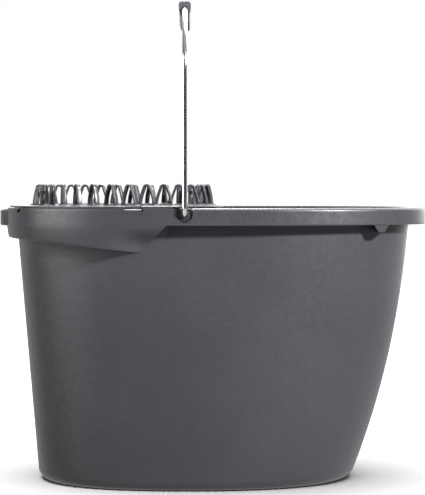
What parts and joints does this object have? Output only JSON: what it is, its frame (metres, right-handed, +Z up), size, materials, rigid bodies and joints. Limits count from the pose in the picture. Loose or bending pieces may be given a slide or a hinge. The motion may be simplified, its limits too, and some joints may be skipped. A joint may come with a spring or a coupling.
{
  "type": "mop_bucket_with_wringer",
  "caption": "Egg-shaped plastic mop bucket with a pouring lip, a swing-over wire bail with a grip, and a lift-out strainer wringer ringed by springy squeeze loops.",
  "frame": {"origin": "under the middle of the whole object, on the surface it stands on (bounding box bottom centre)", "axes": "+X points to the rear of the bucket (away from the pouring lip), +Z is up, +Y completes a right-handed frame; the bail's axis is parallel to Y"},
  "size_m": [0.402, 0.2956, 0.4499],
  "materials": {
    "bucket_plastic": "fine satin grain",
    "wringer_plastic": "satin",
    "grip_plastic": "satin",
    "bush_plastic": "satin",
    "bail_chrome": "bright",
    "cap_steel": "satin"
  },
  "bodies": {
    "bucket": {"bucket_shell": "bucket_plastic", "pivot_bush_near": "bush_plastic", "pivot_bush_far": "bush_plastic"},
    "bail": {"bail_wire": "bail_chrome", "bail_grip": "grip_plastic", "end_cap_near": "cap_steel", "end_cap_far": "cap_steel"},
    "wringer": {"wringer_deck": "wringer_plastic", "strainer_basket": "wringer_plastic"},
    "loop_01": {"squeeze_loop_01": "wringer_plastic"},
    "loop_02": {"squeeze_loop_02": "wringer_plastic"},
    "loop_03": {"squeeze_loop_03": "wringer_plastic"},
    "loop_04": {"squeeze_loop_04": "wringer_plastic"},
    "loop_05": {"squeeze_loop_05": "wringer_plastic"},
    "loop_06": {"squeeze_loop_06": "wringer_plastic"},
    "loop_07": {"squeeze_loop_07": "wringer_plastic"},
    "loop_08": {"squeeze_loop_08": "wringer_plastic"},
    "loop_09": {"squeeze_loop_09": "wringer_plastic"},
    "loop_10": {"squeeze_loop_10": "wringer_plastic"},
    "loop_11": {"squeeze_loop_11": "wringer_plastic"},
    "loop_12": {"squeeze_loop_12": "wringer_plastic"},
    "loop_13": {"squeeze_loop_13": "wringer_plastic"},
    "loop_14": {"squeeze_loop_14": "wringer_plastic"},
    "loop_15": {"squeeze_loop_15": "wringer_plastic"},
    "loop_16": {"squeeze_loop_16": "wringer_plastic"},
    "loop_17": {"squeeze_loop_17": "wringer_plastic"},
    "loop_18": {"squeeze_loop_18": "wringer_plastic"},
    "loop_19": {"squeeze_loop_19": "wringer_plastic"},
    "loop_20": {"squeeze_loop_20": "wringer_plastic"},
    "loop_21": {"squeeze_loop_21": "wringer_plastic"},
    "loop_22": {"squeeze_loop_22": "wringer_plastic"},
    "loop_23": {"squeeze_loop_23": "wringer_plastic"},
    "loop_24": {"squeeze_loop_24": "wringer_plastic"},
    "loop_25": {"squeeze_loop_25": "wringer_plastic"},
    "loop_26": {"squeeze_loop_26": "wringer_plastic"},
    "loop_27": {"squeeze_loop_27": "wringer_plastic"},
    "loop_28": {"squeeze_loop_28": "wringer_plastic"},
    "loop_29": {"squeeze_loop_29": "wringer_plastic"},
    "loop_30": {"squeeze_loop_30": "wringer_plastic"}
  },
  "joints": [
    {"name": "bail_swing", "type": "hinge", "parent": "bucket", "child": "bail", "pos_m": [-0.026, 0, 0.2485], "axis": [0, 1, 0], "range_deg": [-120, 85]},
    {"name": "wringer_lift", "type": "slide", "parent": "bucket", "child": "wringer", "axis": [0, 0, 1], "range_m": [0, 0.135]},
    {"name": "loop_lean_01", "type": "hinge", "parent": "wringer", "child": "loop_01", "pos_m": [-0.00567, 0, 0.2594], "axis": [-0.6428, -0.766, 0], "range_deg": [-25, 25], "stiffness_Nm_per_rad": 0.01},
    {"name": "loop_lean_02", "type": "hinge", "parent": "wringer", "child": "loop_02", "pos_m": [-0.00741, 0.01649, 0.2594], "axis": [-0.4695, -0.8829, 0], "range_deg": [-25, 25], "stiffness_Nm_per_rad": 0.01},
    {"name": "loop_lean_03", "type": "hinge", "parent": "wringer", "child": "loop_03", "pos_m": [-0.01253, 0.03227, 0.2594], "axis": [-0.2756, -0.9613, 0], "range_deg": [-25, 25], "stiffness_Nm_per_rad": 0.01},
    {"name": "loop_lean_04", "type": "hinge", "parent": "wringer", "child": "loop_04", "pos_m": [-0.02082, 0.04663, 0.2594], "axis": [-0.0698, -0.9976, 0], "range_deg": [-25, 25], "stiffness_Nm_per_rad": 0.01},
    {"name": "loop_lean_05", "type": "hinge", "parent": "wringer", "child": "loop_05", "pos_m": [-0.03192, 0.05895, 0.2594], "axis": [0.1392, -0.9903, 0], "range_deg": [-25, 25], "stiffness_Nm_per_rad": 0.01},
    {"name": "loop_lean_06", "type": "hinge", "parent": "wringer", "child": "loop_06", "pos_m": [-0.04534, 0.0687, 0.2594], "axis": [0.342, -0.9397, 0], "range_deg": [-25, 25], "stiffness_Nm_per_rad": 0.01},
    {"name": "loop_lean_07", "type": "hinge", "parent": "wringer", "child": "loop_07", "pos_m": [-0.06049, 0.07544, 0.2594], "axis": [0.5299, -0.848, 0], "range_deg": [-25, 25], "stiffness_Nm_per_rad": 0.01},
    {"name": "loop_lean_08", "type": "hinge", "parent": "wringer", "child": "loop_08", "pos_m": [-0.07671, 0.07889, 0.2594], "axis": [0.6947, -0.7193, 0], "range_deg": [-25, 25], "stiffness_Nm_per_rad": 0.01},
    {"name": "loop_lean_09", "type": "hinge", "parent": "wringer", "child": "loop_09", "pos_m": [-0.09329, 0.07889, 0.2594], "axis": [0.829, -0.5592, 0], "range_deg": [-25, 25], "stiffness_Nm_per_rad": 0.01},
    {"name": "loop_lean_10", "type": "hinge", "parent": "wringer", "child": "loop_10", "pos_m": [-0.10951, 0.07544, 0.2594], "axis": [0.9272, -0.3746, 0], "range_deg": [-25, 25], "stiffness_Nm_per_rad": 0.01},
    {"name": "loop_lean_11", "type": "hinge", "parent": "wringer", "child": "loop_11", "pos_m": [-0.12466, 0.0687, 0.2594], "axis": [0.9848, -0.1736, 0], "range_deg": [-25, 25], "stiffness_Nm_per_rad": 0.01},
    {"name": "loop_lean_12", "type": "hinge", "parent": "wringer", "child": "loop_12", "pos_m": [-0.13808, 0.05895, 0.2594], "axis": [0.9994, 0.0349, 0], "range_deg": [-25, 25], "stiffness_Nm_per_rad": 0.01},
    {"name": "loop_lean_13", "type": "hinge", "parent": "wringer", "child": "loop_13", "pos_m": [-0.14918, 0.04663, 0.2594], "axis": [0.9703, 0.2419, 0], "range_deg": [-25, 25], "stiffness_Nm_per_rad": 0.01},
    {"name": "loop_lean_14", "type": "hinge", "parent": "wringer", "child": "loop_14", "pos_m": [-0.15747, 0.03227, 0.2594], "axis": [0.8988, 0.4384, 0], "range_deg": [-25, 25], "stiffness_Nm_per_rad": 0.01},
    {"name": "loop_lean_15", "type": "hinge", "parent": "wringer", "child": "loop_15", "pos_m": [-0.16259, 0.01649, 0.2594], "axis": [0.788, 0.6157, 0], "range_deg": [-25, 25], "stiffness_Nm_per_rad": 0.01},
    {"name": "loop_lean_16", "type": "hinge", "parent": "wringer", "child": "loop_16", "pos_m": [-0.16433, 0, 0.2594], "axis": [0.6428, 0.766, 0], "range_deg": [-25, 25], "stiffness_Nm_per_rad": 0.01},
    {"name": "loop_lean_17", "type": "hinge", "parent": "wringer", "child": "loop_17", "pos_m": [-0.16259, -0.01649, 0.2594], "axis": [0.4695, 0.8829, 0], "range_deg": [-25, 25], "stiffness_Nm_per_rad": 0.01},
    {"name": "loop_lean_18", "type": "hinge", "parent": "wringer", "child": "loop_18", "pos_m": [-0.15747, -0.03227, 0.2594], "axis": [0.2756, 0.9613, 0], "range_deg": [-25, 25], "stiffness_Nm_per_rad": 0.01},
    {"name": "loop_lean_19", "type": "hinge", "parent": "wringer", "child": "loop_19", "pos_m": [-0.14918, -0.04663, 0.2594], "axis": [0.0698, 0.9976, 0], "range_deg": [-25, 25], "stiffness_Nm_per_rad": 0.01},
    {"name": "loop_lean_20", "type": "hinge", "parent": "wringer", "child": "loop_20", "pos_m": [-0.13808, -0.05895, 0.2594], "axis": [-0.1392, 0.9903, 0], "range_deg": [-25, 25], "stiffness_Nm_per_rad": 0.01},
    {"name": "loop_lean_21", "type": "hinge", "parent": "wringer", "child": "loop_21", "pos_m": [-0.12466, -0.0687, 0.2594], "axis": [-0.342, 0.9397, 0], "range_deg": [-25, 25], "stiffness_Nm_per_rad": 0.01},
    {"name": "loop_lean_22", "type": "hinge", "parent": "wringer", "child": "loop_22", "pos_m": [-0.10951, -0.07544, 0.2594], "axis": [-0.5299, 0.848, 0], "range_deg": [-25, 25], "stiffness_Nm_per_rad": 0.01},
    {"name": "loop_lean_23", "type": "hinge", "parent": "wringer", "child": "loop_23", "pos_m": [-0.09329, -0.07889, 0.2594], "axis": [-0.6947, 0.7193, 0], "range_deg": [-25, 25], "stiffness_Nm_per_rad": 0.01},
    {"name": "loop_lean_24", "type": "hinge", "parent": "wringer", "child": "loop_24", "pos_m": [-0.07671, -0.07889, 0.2594], "axis": [-0.829, 0.5592, 0], "range_deg": [-25, 25], "stiffness_Nm_per_rad": 0.01},
    {"name": "loop_lean_25", "type": "hinge", "parent": "wringer", "child": "loop_25", "pos_m": [-0.06049, -0.07544, 0.2594], "axis": [-0.9272, 0.3746, 0], "range_deg": [-25, 25], "stiffness_Nm_per_rad": 0.01},
    {"name": "loop_lean_26", "type": "hinge", "parent": "wringer", "child": "loop_26", "pos_m": [-0.04534, -0.0687, 0.2594], "axis": [-0.9848, 0.1736, 0], "range_deg": [-25, 25], "stiffness_Nm_per_rad": 0.01},
    {"name": "loop_lean_27", "type": "hinge", "parent": "wringer", "child": "loop_27", "pos_m": [-0.03192, -0.05895, 0.2594], "axis": [-0.9994, -0.0349, 0], "range_deg": [-25, 25], "stiffness_Nm_per_rad": 0.01},
    {"name": "loop_lean_28", "type": "hinge", "parent": "wringer", "child": "loop_28", "pos_m": [-0.02082, -0.04663, 0.2594], "axis": [-0.9703, -0.2419, 0], "range_deg": [-25, 25], "stiffness_Nm_per_rad": 0.01},
    {"name": "loop_lean_29", "type": "hinge", "parent": "wringer", "child": "loop_29", "pos_m": [-0.01253, -0.03227, 0.2594], "axis": [-0.8988, -0.4384, 0], "range_deg": [-25, 25], "stiffness_Nm_per_rad": 0.01},
    {"name": "loop_lean_30", "type": "hinge", "parent": "wringer", "child": "loop_30", "pos_m": [-0.00741, -0.01649, 0.2594], "axis": [-0.788, -0.6157, 0], "range_deg": [-25, 25], "stiffness_Nm_per_rad": 0.01}
  ],
  "couplings": [
    {"joint": "loop_lean_02", "follows": "loop_lean_01", "ratio": 1},
    {"joint": "loop_lean_03", "follows": "loop_lean_01", "ratio": 1},
    {"joint": "loop_lean_04", "follows": "loop_lean_01", "ratio": 1},
    {"joint": "loop_lean_05", "follows": "loop_lean_01", "ratio": 1},
    {"joint": "loop_lean_06", "follows": "loop_lean_01", "ratio": 1},
    {"joint": "loop_lean_07", "follows": "loop_lean_01", "ratio": 1},
    {"joint": "loop_lean_08", "follows": "loop_lean_01", "ratio": 1},
    {"joint": "loop_lean_09", "follows": "loop_lean_01", "ratio": 1},
    {"joint": "loop_lean_10", "follows": "loop_lean_01", "ratio": 1},
    {"joint": "loop_lean_11", "follows": "loop_lean_01", "ratio": 1},
    {"joint": "loop_lean_12", "follows": "loop_lean_01", "ratio": 1},
    {"joint": "loop_lean_13", "follows": "loop_lean_01", "ratio": 1},
    {"joint": "loop_lean_14", "follows": "loop_lean_01", "ratio": 1},
    {"joint": "loop_lean_15", "follows": "loop_lean_01", "ratio": 1},
    {"joint": "loop_lean_16", "follows": "loop_lean_01", "ratio": 1},
    {"joint": "loop_lean_17", "follows": "loop_lean_01", "ratio": 1},
    {"joint": "loop_lean_18", "follows": "loop_lean_01", "ratio": 1},
    {"joint": "loop_lean_19", "follows": "loop_lean_01", "ratio": 1},
    {"joint": "loop_lean_20", "follows": "loop_lean_01", "ratio": 1},
    {"joint": "loop_lean_21", "follows": "loop_lean_01", "ratio": 1},
    {"joint": "loop_lean_22", "follows": "loop_lean_01", "ratio": 1},
    {"joint": "loop_lean_23", "follows": "loop_lean_01", "ratio": 1},
    {"joint": "loop_lean_24", "follows": "loop_lean_01", "ratio": 1},
    {"joint": "loop_lean_25", "follows": "loop_lean_01", "ratio": 1},
    {"joint": "loop_lean_26", "follows": "loop_lean_01", "ratio": 1},
    {"joint": "loop_lean_27", "follows": "loop_lean_01", "ratio": 1},
    {"joint": "loop_lean_28", "follows": "loop_lean_01", "ratio": 1},
    {"joint": "loop_lean_29", "follows": "loop_lean_01", "ratio": 1},
    {"joint": "loop_lean_30", "follows": "loop_lean_01", "ratio": 1}
  ]
}
